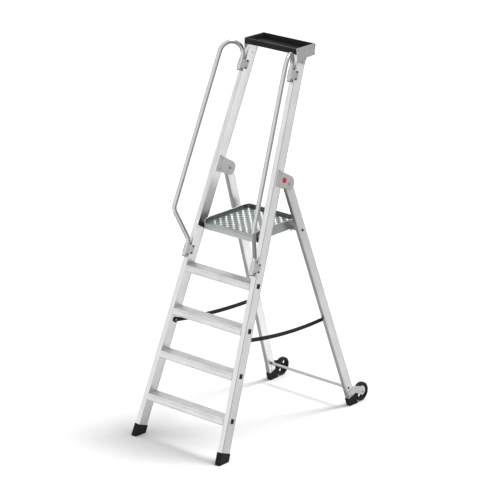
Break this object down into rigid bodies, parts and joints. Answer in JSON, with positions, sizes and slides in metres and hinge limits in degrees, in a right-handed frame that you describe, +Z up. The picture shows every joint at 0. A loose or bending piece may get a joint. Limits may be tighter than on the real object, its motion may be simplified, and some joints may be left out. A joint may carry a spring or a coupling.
{
  "type": "rolling platform ladder",
  "caption": "Folding aluminium platform ladder: leaning stiles with treads, rimmed platform, tool tray, hooked hand rails, hinged rear frame with straps and rear wheels.",
  "frame": {"origin": "on the floor, in the middle of the bounding box, with the ladder opened out", "axes": "+X to the climber's right, +Y the way the climber faces, towards the wheels, +Z up"},
  "size_m": [0.6702, 1.3193, 2.1799],
  "materials": {
    "aluminium": "extruded and mill finished, fine lines along the profile",
    "tread": "extruded, with fine grooves across the tread",
    "plate": "satin, with cut edges",
    "polished_tube": "drawn tube, bright, fine lines along it",
    "deck": "pressed sheet, satin",
    "steel": "zinc plated",
    "dark_steel": "black finish",
    "black_plastic": "moulded, fine grain",
    "dark_plastic": "moulded, fine grain",
    "rubber": "moulded, matt",
    "tyre": "moulded rubber, smooth tread",
    "red_plastic": "moulded, semi-gloss",
    "webbing": "woven polyester webbing"
  },
  "bodies": {
    "front_ladder": {"front_foot_left": "rubber", "front_foot_right": "rubber", "handrail_left": "polished_tube", "handrail_right": "polished_tube", "hinge_cap": "red_plastic", "hinge_pin_left": "steel", "hinge_pin_right": "steel", "hinge_plate_left_inner": "plate", "hinge_plate_left_outer": "plate", "hinge_plate_right_inner": "plate", "hinge_plate_right_outer": "plate", "platform_pad_left": "black_plastic", "platform_pad_right": "black_plastic", "rail_cap_left_lower": "dark_plastic", "rail_cap_left_upper": "dark_plastic", "rail_cap_right_lower": "dark_plastic", "rail_cap_right_upper": "dark_plastic", "rail_clamp_left_lower": "plate", "rail_clamp_left_upper": "plate", "rail_clamp_right_lower": "plate", "rail_clamp_right_upper": "plate", "restraint_strap_left": "webbing", "restraint_strap_right": "webbing", "stile_left": "aluminium", "stile_right": "aluminium", "tool_tray": "black_plastic", "tray_end_left": "plate", "tray_end_right": "plate", "tread_1": "tread", "tread_2": "tread", "tread_3": "tread", "tread_4": "tread", "tread_plug_left_1": "black_plastic", "tread_plug_left_2": "black_plastic", "tread_plug_left_3": "black_plastic", "tread_plug_left_4": "black_plastic", "tread_plug_right_1": "black_plastic", "tread_plug_right_2": "black_plastic", "tread_plug_right_3": "black_plastic", "tread_plug_right_4": "black_plastic"},
    "rear_frame": {"platform_support_tube": "polished_tube", "rear_foot_left": "rubber", "rear_foot_right": "rubber", "rear_leg_left": "aluminium", "rear_leg_right": "aluminium", "stretcher_tube": "aluminium", "support_bolt_left": "dark_steel", "support_bolt_right": "dark_steel", "wheel_axle_pin_left": "steel", "wheel_axle_pin_right": "steel", "wheel_plate_left": "plate", "wheel_plate_right": "plate"},
    "platform": {"platform_deck": "deck", "platform_pin_left": "steel", "platform_pin_right": "steel"},
    "wheel_left": {"wheel_hub_left": "black_plastic", "wheel_tyre_left": "tyre"},
    "wheel_right": {"wheel_hub_right": "black_plastic", "wheel_tyre_right": "tyre"}
  },
  "joints": [
    {"name": "leg_fold", "type": "hinge", "parent": "front_ladder", "child": "rear_frame", "pos_m": [0, 0.0369, 1.44242], "axis": [-1, 0, 0], "range_deg": [0, 39.6], "deforming": ["restraint_strap_left", "restraint_strap_right"]},
    {"name": "platform_lift", "type": "hinge", "parent": "front_ladder", "child": "platform", "pos_m": [0, -0.17578, 1.15944], "axis": [1, 0, 0], "range_deg": [0, 69.1]},
    {"name": "wheel_spin_left", "type": "hinge", "parent": "rear_frame", "child": "wheel_left", "pos_m": [-0.30226, 0.60432, 0.05687], "axis": [0.9984, 0.0184, -0.0541], "continuous": true},
    {"name": "wheel_spin_right", "type": "hinge", "parent": "rear_frame", "child": "wheel_right", "pos_m": [0.30226, 0.60432, 0.05687], "axis": [0.9984, -0.0184, 0.0541], "continuous": true}
  ],
  "couplings": [
    {"joint": "platform_lift", "follows": "leg_fold", "ratio": 1.743}
  ]
}
